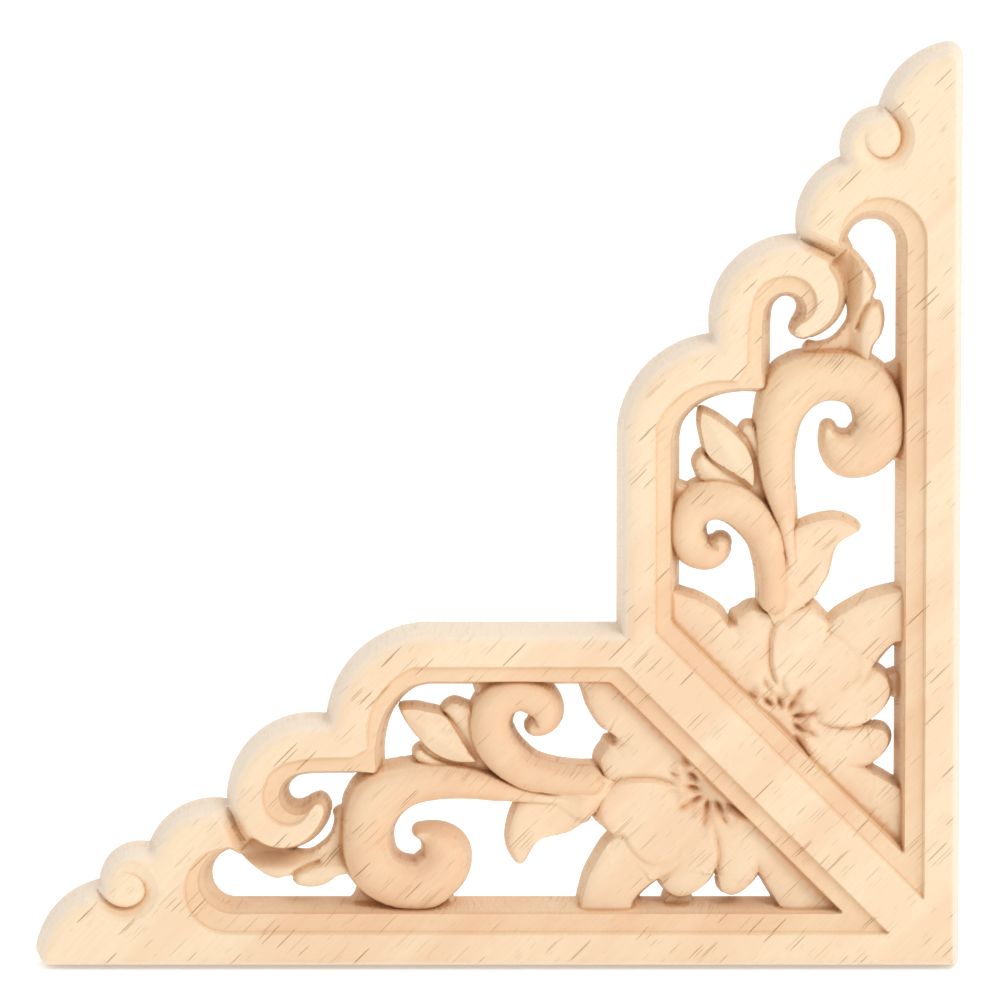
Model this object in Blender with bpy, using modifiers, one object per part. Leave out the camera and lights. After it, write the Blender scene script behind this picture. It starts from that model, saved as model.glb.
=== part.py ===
"""Carved wooden corner onlay: a right-angled openwork bracket with scalloped legs.

The onlay stands upright. Its carved face looks to -Y, its flat back lies on Y = 0, X runs to the
right and Z up. The origin is on the back face, where the centre lines of the two straight bars cross.

One arm is modelled lying on its back, and the other is its mirror image in the diagonal bar. A place
on the arm is given in millimetres as (along, inward): along the arm from the outer right-angled
corner, and inward from the arm's straight edge. Heights are millimetres above the flat back.
"""

import math
from itertools import count

import bmesh
import bpy
from mathutils import Matrix, Vector
from mathutils.geometry import interpolate_bezier

MM = 0.001
NAME = "corner_onlay"

# Overall sizes
LEG = 150.0
THICKNESS = 10.0
BAR = 10.7
ARM_WIDTH = 55.7
DRAFT = 0.9
ARRIS = 0.8
UNDER = 2.0  # how far the shapes start below the back before they are cut flat
UNDER_STEP = 0.15  # and how much further each next one starts, so that no two undersides are level
GOUGE_LIFT = 0.25  # how far the middle of a gouge runs above the top face

# The stepped ledge round the openings
LEDGE_HEIGHT = 8.5
LEDGE_LINE = 5.4
SIDE_EDGE = 45.5
SIDE_LEDGE = 50.1
DIAGONAL_EDGE = 9.8
DIAGONAL_LEDGE = 5.4

# Cusps of the scalloped edge, each with the middle of the lobe that leads to it
TIP_ROUND = 2.4
TIP_SHARE = 0.3  # where the middle of the tip's rounding lies, as a share of TIP_ROUND
LOBES = [
    ((146.2, 9.9), (139.6, 13.6)),
    ((136.4, 18.9), (131.4, 19.7)),
    ((126.4, 25.5), (118.9, 26.8)),
    ((114.2, 37.4), (102.7, 40.8)),
    ((96.7, 51.8), (87.0, ARM_WIDTH)),
]

# The curl that hangs from the largest lobe, and the round end of the long opening
CURL_CENTRE = (109.8, 26.6)
CURL_RADIUS = 8.2
CURL_START = 53.0  # degrees round the curl from its middle to the nib, and to the tip
CURL_END = 14.0
CURL_TIP = (103.4, 28.3)
ROUND_END = 121.2
NIB = (116.6, 17.5)

# Centre lines of the scrolls: (along, inward, full width)
BIG_SCROLL = [
    (58.0, 27.5, 6.0), (64.0, 28.2, 6.0), (70.0, 28.3, 5.0), (75.0, 29.0, 5.2),
    (80.0, 30.0, 6.4), (85.0, 30.2, 7.2), (90.0, 29.4, 8.2), (94.2, 26.8, 9.3),
    (96.1, 22.0, 8.9), (95.3, 16.6, 9.2), (91.7, 13.7, 9.0), (86.6, 13.1, 9.0),
    (83.3, 15.2, 8.2), (82.7, 18.3, 7.5), (83.9, 20.4, 5.4), (85.9, 21.5, 3.6),
    (87.4, 21.8, 2.8),
]
SMALL_SCROLL = [
    (57.0, 30.5, 6.0), (62.0, 30.3, 6.0), (66.0, 30.7, 6.2), (70.0, 31.6, 6.9),
    (73.1, 33.7, 7.5), (75.5, 36.7, 7.8), (76.2, 40.2, 7.8), (74.6, 43.4, 7.4),
    (71.3, 44.6, 7.0), (68.4, 43.4, 6.4), (67.6, 41.3, 5.4), (68.4, 39.7, 3.8),
]
SCROLL_AXIS = 4.7  # height at which a scroll's round top starts
SCROLL_CROWN = 1.0  # height of the round top, in half widths
SCROLL_TOP = 8.8
SCROLL_FULL = 3.0  # half width from which a scroll's sides have the full draft
SCROLL_FACETS = 8

# Leaves and petals as outlines, and each petal's height
HOOKED_LEAF = [
    (59.9, 23.4), (61.0, 22.8), (63.0, 21.5), (65.0, 20.9), (67.5, 20.3), (69.0, 19.0),
    (70.0, 17.3), (70.8, 16.2), (71.9, 16.3), (72.8, 17.3), (73.6, 19.0), (73.9, 21.0),
    (73.5, 23.5), (72.7, 25.8), (71.0, 28.0), (64.0, 28.5), (59.0, 26.5),
]
FRILLY_LEAF = [
    (117.0, 19.3), (116.2, 17.7), (114.7, 16.0), (112.6, 14.4), (110.4, 13.8), (108.7, 14.2),
    (107.8, 12.9), (105.2, 12.4), (102.6, 12.9), (100.6, 14.2), (98.0, 15.4), (97.0, 18.5),
    (97.4, 22.6), (100.2, 23.2), (101.9, 21.2), (103.6, 19.6), (105.6, 18.8), (108.5, 19.4),
    (112.5, 20.8),
]
BUD = [
    (90.6, 41.9), (88.0, 42.6), (85.2, 42.1), (83.2, 43.2), (81.2, 43.4), (79.4, 42.0),
    (77.5, 38.0), (77.5, 33.0), (81.0, 31.5), (86.0, 31.8), (88.6, 34.3), (87.3, 36.4),
    (89.2, 38.6),
]
PETALS = [
    ([(61.9, 47.2), (60.8, 42.5), (59.5, 39.7), (56.9, 37.6), (50.0, 36.0), (42.0, 34.5),
      (46.0, 41.0), (52.0, 47.2)], 6.4),
    ([(56.9, 37.6), (58.4, 36.1), (59.4, 34.0), (58.8, 31.8), (57.0, 30.1), (50.0, 30.2),
      (40.0, 31.0), (44.0, 36.5)], 6.6),
    ([(57.0, 30.1), (58.6, 27.5), (58.7, 24.0), (57.3, 21.6), (53.5, 19.0), (49.0, 18.0),
      (44.0, 21.5), (39.5, 29.0), (48.0, 30.0)], 7.0),
    ([(57.3, 21.6), (59.4, 17.8), (61.2, 13.6), (62.0, 9.6), (53.5, 9.6), (51.4, 11.8),
      (49.2, 13.4), (46.0, 17.0), (46.0, 22.0), (52.0, 22.5)], 5.8),
    ([(49.2, 13.4), (47.8, 11.8), (45.5, 11.1), (43.0, 11.6), (41.0, 13.0), (39.5, 15.0),
      (39.2, 19.0), (39.6, 27.5), (46.0, 20.5)], 6.4),
    ([(39.5, 15.0), (39.3, 12.4), (37.5, 11.3), (35.2, 11.9), (33.0, 13.6), (32.4, 18.0),
      (33.0, 24.5), (38.8, 27.0)], 6.2),
    ([(33.2, 13.8), (31.3, 12.0), (29.6, 9.6), (18.0, 9.6), (24.0, 15.8), (34.0, 26.0)], 5.2),
]
FLOWER_HEART = (39.3, 29.3)
HEART_RADIUS = 4.6
HEART_HEIGHT = 7.0
HEART_PEAK = 0.7
HEART_SIDES = 14
PETAL_PEAK = 1.0
LEAF_HEIGHT = 7.0

# Grooves that the gouge leaves on the top face: path, radius of the gouge
TIP_CURL_GROOVE = [
    (140.5, 13.9), (138.3, 10.6), (135.6, 8.9), (132.6, 8.6), (130.5, 10.6), (130.0, 13.4),
    (131.2, 16.0), (133.6, 17.0),
]
LOBE_GROOVE = [(120.6, 28.4), (118.2, 25.6), (116.2, 22.4), (114.2, 19.4), (112.0, 17.8)]
GROOVE_RADIUS = 1.1

WOOD = (0.86, 0.62, 0.41, 1.0)
WOOD_ROUGHNESS = 0.62


def on_back(place):
    """A place on the arm as a point of the flat drawing, in metres."""
    along, inward = place
    return Vector(((BAR / 2 - inward) * MM, (along - BAR / 2) * MM))


def arc(start, middle, end, steps):
    """Points of the circle through three places, without the first one."""
    (ax, ay), (bx, by), (cx, cy) = start, middle, end
    d = 2 * (ax * (by - cy) + bx * (cy - ay) + cx * (ay - by))
    a2, b2, c2 = ax * ax + ay * ay, bx * bx + by * by, cx * cx + cy * cy
    x = (a2 * (by - cy) + b2 * (cy - ay) + c2 * (ay - by)) / d
    y = (a2 * (cx - bx) + b2 * (ax - cx) + c2 * (bx - ax)) / d
    radius = math.hypot(ax - x, ay - y)
    first, mid, last = (math.atan2(q - y, p - x) for p, q in (start, middle, end))
    turn = (last - first) % math.tau
    if (mid - first) % math.tau > turn:
        turn -= math.tau
    angles = [first + turn * i / steps for i in range(1, steps + 1)]
    return [(x + radius * math.cos(t), y + radius * math.sin(t)) for t in angles]


def soft_line(points, steps, closed=False):
    """A smooth line through places of two or three values, with steps pieces between neighbours."""
    n = len(points)
    spans = n if closed else n - 1
    line = []
    for i in range(spans):
        before, here, there, after = (
            Vector(points[k % n] if closed else points[min(max(k, 0), n - 1)])
            for k in (i - 1, i, i + 1, i + 2)
        )
        lead, trail = here + (there - before) / 6, there - (after - here) / 6
        line += interpolate_bezier(*(v.to_3d() for v in (here, lead, trail, there)), steps + 1)[:-1]
    if not closed:
        line.append(Vector(points[-1]).to_3d())
    return line


def outer_edge():
    """The arm's outline: straight edge, tip, five lobes, inner side, and a little past the diagonal."""
    edge = [(0.0, 0.0), (LEG - TIP_ROUND, 0.0)]
    edge += arc(edge[-1], (LEG - TIP_SHARE * TIP_ROUND, TIP_SHARE * TIP_ROUND), (LEG, TIP_ROUND), 2)
    for middle, cusp in LOBES:
        edge += arc(edge[-1], middle, cusp, 9)
    edge.append((ARM_WIDTH, ARM_WIDTH))
    edge += [(ARM_WIDTH - BAR, ARM_WIDTH), (0.0, BAR)]
    return edge


def curl_side():
    """The outside of the hanging curl, from the nib round to the curl's tip."""
    x, y = CURL_CENTRE
    first, last = math.radians(CURL_START), math.radians(CURL_END)
    start = (x + CURL_RADIUS * math.cos(first), y - CURL_RADIUS * math.sin(first))
    low = (x - CURL_RADIUS * math.cos(last), y - CURL_RADIUS * math.sin(last))
    side = [start] + arc(start, (x, y - CURL_RADIUS), low, 14)
    return side + [(102.1, 27.2), CURL_TIP]


def opening_edge():
    """The arm's through opening in the frame, before scrolls and flower fill it."""
    edge = [(BAR + DIAGONAL_EDGE, BAR), (ROUND_END - 3.8, BAR)]
    edge += arc(edge[-1], (ROUND_END, 14.3), (118.4, 18.4), 10) + [NIB]
    edge += curl_side()
    edge += arc(CURL_TIP, (108.3, 28.2), (104.5, 30.9), 9)
    edge += [(97.5, 30.9), (93.4, 32.7)]
    edge += arc(edge[-1], (92.1, 40.4), (87.0, SIDE_EDGE), 8)
    return edge + [(SIDE_EDGE + DIAGONAL_EDGE, SIDE_EDGE)]


def ledge_edge():
    """The line where the top face steps down to the ledge that follows the opening."""
    edge = [(LEDGE_LINE + DIAGONAL_LEDGE, LEDGE_LINE), (118.5, LEDGE_LINE)]
    edge += arc(edge[-1], (126.2, 14.2), (119.6, 20.6), 12) + [NIB]
    edge += curl_side() + [(104.9, 27.0), (104.9, 24.9)]
    edge += arc(edge[-1], (112.9, 28.4), (106.5, 34.9), 12)
    edge += [(98.5, 35.0), (96.9, 36.2)]
    edge += arc(edge[-1], (95.2, 44.4), (88.5, SIDE_LEDGE), 8)
    return edge + [(SIDE_LEDGE + DIAGONAL_LEDGE, SIDE_LEDGE)]


def inward_steps(points, distance):
    """How far each point of a closed flat outline moves so that its sides shift by distance."""
    n = len(points)
    area = sum(points[i - 1].cross(points[i]) for i in range(n))
    side = math.copysign(1.0, area)
    moves = []
    for i in range(n):
        before = (points[i] - points[i - 1]).normalized()
        after = (points[(i + 1) % n] - points[i]).normalized()
        normals = [Vector((-v.y, v.x)) * side for v in (before, after)]
        middle = (normals[0] + normals[1]).normalized()
        moves.append(middle * distance / max(middle.dot(normals[0]), 0.6))
    return moves


def plate(name, outline, bottom, top, draft, level=0.0, arris=0.0, peak=0.0):
    """A flat shape with sloping sides. The outline is true at the height level, and the sides come in
    by draft from there to the top, where arris chamfers the edge or peak makes the face swell."""
    points = [on_back(p[:2]) for p in outline]
    moves = inward_steps(points, draft * MM)
    flare = (level - bottom) / (top - level)
    feet = [point - move * flare for point, move in zip(points, moves)]
    bm = bmesh.new()
    base = bm.faces.new([bm.verts.new((p.x, p.y, bottom * MM)) for p in feet])
    raised = bmesh.ops.extrude_face_region(bm, geom=[base])["geom"]
    lid = next(g for g in raised if isinstance(g, bmesh.types.BMFace))
    for vert in lid.verts:
        nearest = min(range(len(feet)), key=lambda i: (feet[i] - vert.co.to_2d()).length)
        vert.co = (*(points[nearest] + moves[nearest]), top * MM)
    if arris:
        bmesh.ops.inset_region(bm, faces=[lid], thickness=arris * MM, depth=arris * MM, use_even_offset=True)
    if peak:
        bmesh.ops.poke(bm, faces=[lid], offset=peak * MM)
    bmesh.ops.recalc_face_normals(bm, faces=bm.faces)
    bmesh.ops.triangulate(bm, faces=bm.faces)
    return solid(name, bm)


def solid(name, bm):
    """An object from a bmesh, in the collection of shapes still to be joined or cut."""
    mesh = bpy.data.meshes.new(name)
    bm.to_mesh(mesh)
    bm.free()
    made = bpy.data.objects.new(name, mesh)
    bench.objects.link(made)
    made.hide_render = True
    made.display_type = "WIRE"
    return made


def from_curve(curve):
    """A closed mesh in place of a curve object."""
    bpy.context.view_layer.update()
    evaluated = curve.evaluated_get(bpy.context.evaluated_depsgraph_get())
    mesh = bpy.data.meshes.new_from_object(evaluated)
    bm = bmesh.new()
    bm.from_mesh(mesh)
    bmesh.ops.remove_doubles(bm, verts=bm.verts, dist=0.001 * MM)
    bmesh.ops.recalc_face_normals(bm, faces=bm.faces)
    bmesh.ops.triangulate(bm, faces=bm.faces)
    made = solid(curve.name + "_mesh", bm)
    made.matrix_world = curve.matrix_world.copy()
    bpy.data.meshes.remove(mesh)
    bpy.data.objects.remove(curve)
    return made


def scroll_section(line, i, foot):
    """Corner points of a scroll's section at one station: sloping sides and a round top."""
    place, half = line[i], line[i].z / 2
    ahead = line[min(i + 1, len(line) - 1)] - line[max(i - 1, 0)]
    across = Vector((-ahead.y, ahead.x)).normalized()
    crown = SCROLL_AXIS + min(SCROLL_CROWN * half, SCROLL_TOP - SCROLL_AXIS)
    shoulder = half - DRAFT * min(1.0, half / SCROLL_FULL)
    turns = [math.pi * k / SCROLL_FACETS for k in range(SCROLL_FACETS + 1)]
    rise = [(shoulder * math.cos(turn), math.sin(turn)) for turn in turns]
    section = [(side, SCROLL_AXIS + (crown - SCROLL_AXIS) * lift) for side, lift in rise]
    section = [(half, foot)] + section + [(-half, foot)]
    return [(*on_back(place.to_2d() + across * side), height * MM) for side, height in section]


def scroll(name, stations, foot):
    """A scroll that keeps its foot on the back while its width changes: its section, drawn along."""
    line = soft_line(stations, 2)
    bm = bmesh.new()
    end = bm.faces.new([bm.verts.new(co) for co in scroll_section(line, 0, foot)])
    for i in range(1, len(line)):
        drawn = bmesh.ops.extrude_face_region(bm, geom=[end])["geom"]
        if i > 1:
            bmesh.ops.delete(bm, geom=[end], context="FACES_ONLY")
        end = next(g for g in drawn if isinstance(g, bmesh.types.BMFace))
        section = [Vector(co) for co in scroll_section(line, i, foot)]
        last = [Vector(co) for co in scroll_section(line, i - 1, foot)]
        for vert in end.verts:
            k = min(range(len(last)), key=lambda n: (last[n] - vert.co).length)
            vert.co = section[k]
    bmesh.ops.recalc_face_normals(bm, faces=bm.faces)
    bmesh.ops.triangulate(bm, faces=bm.faces)
    return solid(name, bm)


def rod(name, line, height, radius):
    """A round rod along a line of the arm, to gouge a groove with."""
    curve = bpy.data.curves.new(name, "CURVE")
    curve.dimensions = "3D"
    curve.use_fill_caps = True
    spline = curve.splines.new("POLY")
    spline.points.add(len(line) - 1)
    for point, place in zip(spline.points, line):
        point.co = (*on_back(place[:2]), height * MM, 1.0)
    curve.bevel_depth = radius * MM
    curve.bevel_resolution = 2
    made = bpy.data.objects.new(name, curve)
    bench.objects.link(made)
    return from_curve(made)


def groove(name, path):
    return rod(name, soft_line([(*p, 0.0) for p in path], 2), THICKNESS + GOUGE_LIFT, GROOVE_RADIUS)


def combined(target, others, operation):
    """The target joined with, or cut by, the other shapes, as a new mesh; the others are used up."""
    group = bpy.data.collections.new(operation.lower())
    bench.children.link(group)
    for other in others:
        group.objects.link(other)
    modifier = target.modifiers.new(operation, "BOOLEAN")
    modifier.operation = operation
    modifier.solver = "EXACT"
    modifier.operand_type = "COLLECTION"
    modifier.collection = group
    bpy.context.view_layer.update()
    evaluated = target.evaluated_get(bpy.context.evaluated_depsgraph_get())
    mesh = bpy.data.meshes.new_from_object(evaluated)
    target.modifiers.clear()
    target.data = mesh
    for other in others:
        bpy.data.objects.remove(other)
    bpy.data.collections.remove(group)


def frame_arm():
    """The arm's flat frame with its opening, the stepped ledge and the gouged lines."""
    frame = plate("frame", outer_edge(), -UNDER, THICKNESS - ARRIS, DRAFT, arris=ARRIS)
    opening = plate("opening", opening_edge(), -2 * UNDER, THICKNESS + UNDER, -DRAFT / 2)
    ledge = plate("ledge", ledge_edge(), LEDGE_HEIGHT, THICKNESS + UNDER, -DRAFT / 2, level=LEDGE_HEIGHT)
    tip_groove = groove("tip_groove", TIP_CURL_GROOVE)
    lobe_groove = groove("lobe_groove", LOBE_GROOVE)
    combined(frame, [opening, ledge, tip_groove, lobe_groove], "DIFFERENCE")
    return frame


def flower_heart(foot):
    """The raised middle of the flower, which the diagonal bar cuts off."""
    along, inward = FLOWER_HEART
    turns = [math.tau * i / HEART_SIDES for i in range(HEART_SIDES)]
    ring = [(along + HEART_RADIUS * math.cos(t), inward + HEART_RADIUS * math.sin(t)) for t in turns]
    return plate("heart", ring, foot, HEART_HEIGHT, DRAFT, peak=HEART_PEAK)


def arm_carving():
    """Scrolls, leaves, bud and petals of one arm."""
    feet = (-UNDER - UNDER_STEP * i for i in count(1))
    pieces = [scroll("big_scroll", BIG_SCROLL, next(feet)), scroll("small_scroll", SMALL_SCROLL, next(feet))]
    for name, outline in (("hooked_leaf", HOOKED_LEAF), ("frilly_leaf", FRILLY_LEAF), ("bud", BUD)):
        line = soft_line([(*p, 0.0) for p in outline], 2, closed=True)
        pieces.append(plate(name, line, next(feet), LEAF_HEIGHT, DRAFT / 2))
    for number, (outline, height) in enumerate(PETALS, 1):
        line = soft_line([(*p, 0.0) for p in outline], 2, closed=True)
        pieces.append(plate(f"petal_{number}", line, next(feet), height, DRAFT / 3, peak=PETAL_PEAK))
    pieces.append(flower_heart(next(feet)))
    return pieces


def flat_back():
    """A slab below the back, which cuts every shape off level."""
    bm = bmesh.new()
    bmesh.ops.create_cube(bm, size=1.0)
    slab = solid("flat_back", bm)
    slab.data.transform(Matrix.Diagonal((3 * LEG * MM, 3 * LEG * MM, 6 * THICKNESS * MM, 1.0)))
    slab.data.transform(Matrix.Translation((0.0, 0.0, -3 * THICKNESS * MM)))
    return slab


def mirrored(arm):
    """Both arms from one, cut and joined at the diagonal."""
    plane = bpy.data.objects.new("diagonal", None)
    bench.objects.link(plane)
    plane.rotation_euler = (0.0, 0.0, math.radians(45))
    mirror = arm.modifiers.new("Mirror", "MIRROR")
    mirror.mirror_object = plane
    mirror.use_axis = (True, False, False)
    mirror.use_bisect_axis = (True, False, False)
    mirror.use_mirror_merge = True
    mirror.merge_threshold = 0.002 * MM
    bpy.context.view_layer.update()
    evaluated = arm.evaluated_get(bpy.context.evaluated_depsgraph_get())
    mesh = bpy.data.meshes.new_from_object(evaluated)
    bpy.data.objects.remove(plane)
    return mesh


def light_wood():
    material = bpy.data.materials.new("light_wood")
    material.use_nodes = True
    shader = material.node_tree.nodes["Principled BSDF"]
    shader.inputs["Base Color"].default_value = WOOD
    shader.inputs["Roughness"].default_value = WOOD_ROUGHNESS
    shader.inputs["Metallic"].default_value = 0.0
    return material


def tidied(mesh):
    """One clean closed surface: tiny edges merged, flat regions joined and cut into triangles again."""
    bm = bmesh.new()
    bm.from_mesh(mesh)
    bmesh.ops.remove_doubles(bm, verts=bm.verts, dist=0.01 * MM)
    bmesh.ops.dissolve_degenerate(bm, edges=bm.edges, dist=0.01 * MM)
    bmesh.ops.triangulate(bm, faces=bm.faces)
    bmesh.ops.recalc_face_normals(bm, faces=bm.faces)
    bm.to_mesh(mesh)
    bm.free()


for old in list(bpy.data.objects):
    bpy.data.objects.remove(old)

shelf = bpy.data.collections.new(NAME)
bench = bpy.data.collections.new("shaping")
bpy.context.scene.collection.children.link(shelf)
bpy.context.scene.collection.children.link(bench)

arm = frame_arm()
combined(arm, arm_carving(), "UNION")
combined(arm, [flat_back()], "DIFFERENCE")
mesh = mirrored(arm)
bpy.data.objects.remove(arm)
tidied(mesh)
mesh.transform(Matrix.Rotation(math.radians(90), 4, "X"))
mesh.name = NAME
mesh.materials.clear()
mesh.materials.append(light_wood())
mesh.set_sharp_from_angle(angle=math.radians(35))
onlay = bpy.data.objects.new(NAME, mesh)
shelf.objects.link(onlay)
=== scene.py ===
"""Carved wooden corner onlay: a right-angled openwork bracket of pale hardwood.

The onlay stands upright, carved face to -Y and flat back on Y = 0. The carving is one relief, so it is
made as one skin: a height above the back for every spot of an arm, cut into triangles along the arrises
and creases, stood up, and mirrored in the diagonal bar. A spot is (along, inward) in millimetres: along
the arm from the outer right-angled corner, and inward from the arm's straight edge.
"""

import math

import bmesh
import bpy
import numpy as np
from mathutils import Matrix, Vector
from mathutils.geometry import delaunay_2d_cdt, interpolate_bezier


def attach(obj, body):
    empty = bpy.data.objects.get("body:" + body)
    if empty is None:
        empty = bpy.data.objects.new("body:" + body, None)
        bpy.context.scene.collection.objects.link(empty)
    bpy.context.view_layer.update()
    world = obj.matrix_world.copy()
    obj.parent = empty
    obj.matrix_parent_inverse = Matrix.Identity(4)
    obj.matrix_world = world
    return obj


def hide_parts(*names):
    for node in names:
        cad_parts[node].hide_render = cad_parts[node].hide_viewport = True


MM = 0.001

# The frame
LEG = 150.0
TOP = 10.0
BAR = 10.7
ARM_WIDTH = 55.7
TIP_ROUND = 2.4
LOBES = [
    ((146.2, 9.9), (139.6, 13.6)),
    ((136.4, 18.9), (131.4, 19.7)),
    ((126.4, 25.5), (118.9, 26.8)),
    ((114.2, 37.4), (102.7, 40.8)),
    ((96.7, 51.8), (87.0, ARM_WIDTH)),
]
OUTER_WALL = 0.9  # how far the outer wall leans in
OUTER_DROP = 1.9  # how far down the rounded outer arris starts
OUTER_ROUND = 2.8  # and how far in it ends
STRAIGHT_DROP = 0.8  # the same along the two straight edges
STRAIGHT_ROUND = 1.0
STRAIGHT_BAND = (1.5, 2.5)  # inward: where the straight edge's arris starts to widen, and over how much
TIP_BAND = (2.5, 2.0)  # the same, back from the tip
PAST_DIAGONAL = 20.0  # how far the outline runs on past the diagonal, where the other arm takes over

# The stepped ledge round the openings
LEDGE = 8.8
LEDGE_LINE = 5.4
LEDGE_INSET = 0.5
LEDGE_STEP = 0.3
COVE_DROP = 0.5  # how much of the drop is a soft hollow after the step
COVE_WIDTH = 2.3
LEDGE_WALL = 1.6  # how far the openings' walls lean
SIDE_EDGE = 45.5
SIDE_LEDGE = 50.2
DIAGONAL_EDGE = 11.8
DIAGONAL_LEDGE = 4.6
ACUTE_CORNER = (30.0, 20.0)  # nearer than this the opening's corner is cut sharp

# The curl that hangs from the largest lobe, and the round end of the long opening
CURL_CENTRE = (109.8, 26.6)
CURL_RADIUS = 8.2
CURL_FROM = -53.0  # degrees
CURL_TO = 17.0
CURL_RIM_WALL = 0.7
CURL_RIM_DROP = 1.6
CURL_RIM_ROUND = 1.5
CURL_TIP = (103.6, 28.1)
CURL_NOSE = [(101.7, 25.6), (102.0, 26.8), (102.7, 27.7), CURL_TIP]
WINDOW_CORNER = [
    (93.1, 32.8), (93.2, 35.4), (92.8, 38.3), (91.9, 41.0), (90.4, 43.2), (88.3, 44.9), (86.0, SIDE_EDGE),
]
TEARDROP = [
    CURL_TIP, (104.7, 27.8), (105.8, 27.2), (106.8, 26.8), (107.8, 26.9), (108.5, 27.6), (108.7, 28.7),
    (108.2, 29.7), (107.1, 30.5), (105.4, 30.8), (103.0, 30.9),
]
CURL_LEDGE = [
    (104.7, 27.4), (104.7, 26.0), (105.4, 24.7), (106.8, 23.5), (108.6, 23.0), (110.8, 23.5), (112.7, 25.1),
    (113.6, 27.6), (113.4, 30.1), (112.2, 32.6), (110.2, 34.1), (107.7, 34.9), (104.5, 35.4),
]
ROUND_END = 121.2
NIB = (116.6, 17.5)
LONG_OPENING_END = [(ROUND_END - 3.8, BAR), (ROUND_END, 14.3), (118.4, 18.4)]
LONG_LEDGE_END = [(118.5, LEDGE_LINE), (126.2, 14.2), (119.6, 20.6)]
WINDOW_SILL = [(97.5, 30.9), (94.7, 30.6), (93.5, 31.2)]
LEDGE_SILL = [(98.5, 35.5), (96.6, 36.6)]
LEDGE_CORNER = [(95.2, 44.4), (88.5, SIDE_LEDGE)]
# Where the openings' walls stand steeper or lean more: (place, spread, change of the lean)
WALL_CHANGES = [((104.2, 27.6), 6.0, -0.85), ((ROUND_END, 14.3), 14.0, 0.9)]

# Scrolls: (along, inward, full width)
BIG_SCROLL = [
    (61.0, 27.2, 3.0), (65.5, 27.5, 3.2), (71.0, 28.2, 3.9), (75.0, 29.0, 5.2),
    (80.0, 30.0, 6.4), (85.0, 30.2, 7.2), (90.1, 29.5, 8.4), (94.6, 27.0, 10.1),
    (96.1, 22.0, 8.9), (95.3, 16.6, 9.2), (91.7, 13.7, 9.0), (87.0, 13.2, 9.0),
    (85.1, 14.5, 9.2), (83.6, 16.0, 8.6), (83.3, 18.2, 8.2), (84.3, 20.0, 6.2), (86.0, 21.2, 4.0),
    (87.5, 21.6, 2.8),
]
SMALL_SCROLL = [
    (60.0, 30.3, 6.0), (62.0, 30.3, 6.0), (66.0, 30.7, 6.2), (70.0, 31.6, 6.9),
    (73.1, 33.7, 7.5), (75.5, 36.7, 7.8), (76.2, 40.2, 7.8), (74.6, 43.4, 7.4),
    (71.3, 44.6, 7.0), (68.4, 43.4, 6.8), (67.3, 41.4, 6.4), (67.6, 39.8, 5.2), (68.8, 38.9, 3.8),
]
EYE_GROOVE = [(71.9, 39.9, 5.5), (71.2, 40.5, 5.0), (70.2, 40.9, 4.2), (69.2, 40.8, 3.0), (68.7, 40.1, 1.0)]
EYE_WIDTHS = (0.9, 0.7)
SCROLL_WAIST = 4.3  # height where the round top starts
SCROLL_TOP = 8.9
SCROLL_FULL = 3.2  # half width from which the top has its full height
SCROLL_SWELL = 0.6
SCROLL_ROUND = 2.3
SCROLL_LEAN = 0.55

# The foot of the stems. A slope is (place, height there, rise per millimetre)
STEM_FOOT = [
    (70.0, 29.3), (66.5, 30.8), (63.0, 32.0), (61.0, 33.0), (58.4, 32.3), (56.0, 31.2), (53.9, 30.2),
    (55.8, 28.4), (57.5, 26.2), (59.6, 23.9), (62.0, 23.5), (65.0, 25.5), (68.0, 27.4),
]
STEM_TOP = 8.2
STEM_RISE = (54.0, 5.2, 0.4)
STEM_FALL = (60.5, 8.3, -0.25)
STEM_SIDE = (28.0, 0.5)

# Leaves and the bud
HOOKED_LEAF = [
    (59.9, 23.4), (61.0, 22.8), (63.0, 21.5), (65.0, 20.9), (67.5, 20.3), (69.0, 19.0),
    (70.0, 17.3), (70.8, 16.2), (71.9, 16.3), (72.8, 17.3), (73.6, 19.0), (73.9, 21.0),
    (73.5, 23.5), (72.7, 25.8), (71.0, 28.0), (64.0, 28.5), (59.0, 26.5),
]
HOOKED_RIDGE = [(66.0, 28.5), (69.4, 27.2), (71.5, 24.5), (72.1, 21.0), (72.0, 19.0), (71.3, 16.6)]
HOOKED_TOP = 6.9
HOOKED_CREST = 7.1
HOOKED_FALLS = (0.8, 0.25)  # fall per millimetre outside and inside the ridge
HOOKED_TIP = (19.5, 3.5, 1.3)  # where the tip starts to bow down, over how much, and how far down
FRILLY_LEAF = [
    (117.4, 19.3), (116.6, 17.7), (114.9, 16.0), (112.6, 14.4), (110.4, 13.8), (108.7, 14.2),
    (107.8, 12.9), (105.2, 12.4), (102.6, 12.9), (100.6, 14.2), (98.0, 15.0), (96.0, 18.5),
    (96.0, 25.2), (100.2, 25.9), (101.8, 25.0), (101.6, 23.3), (102.2, 21.2), (103.8, 19.6), (105.6, 18.7),
    (108.5, 19.1), (112.0, 20.4), (115.0, 21.4),
]
FRILLY_TOP = 6.6
FRILLY_FALLS = [(14.5, 0.3, 6.0), (16.2, 0.9, 5.0)]  # inward of here: fall per millimetre, and how wide
FRILLY_FLOOR = 3.6
FRILLY_TAIL = (104.0, 0.1, 6.0)  # the same, back from here
FRILLY_ROOT = (1.3, 1.2)  # depth and width of the crease at the curl
FRILL_NOTCH = [(108.3, 13.9), (107.8, 15.2), (106.2, 16.2), (104.0, 16.9)]
NOTCH = (1.6, 0.45)  # depth and width
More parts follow.
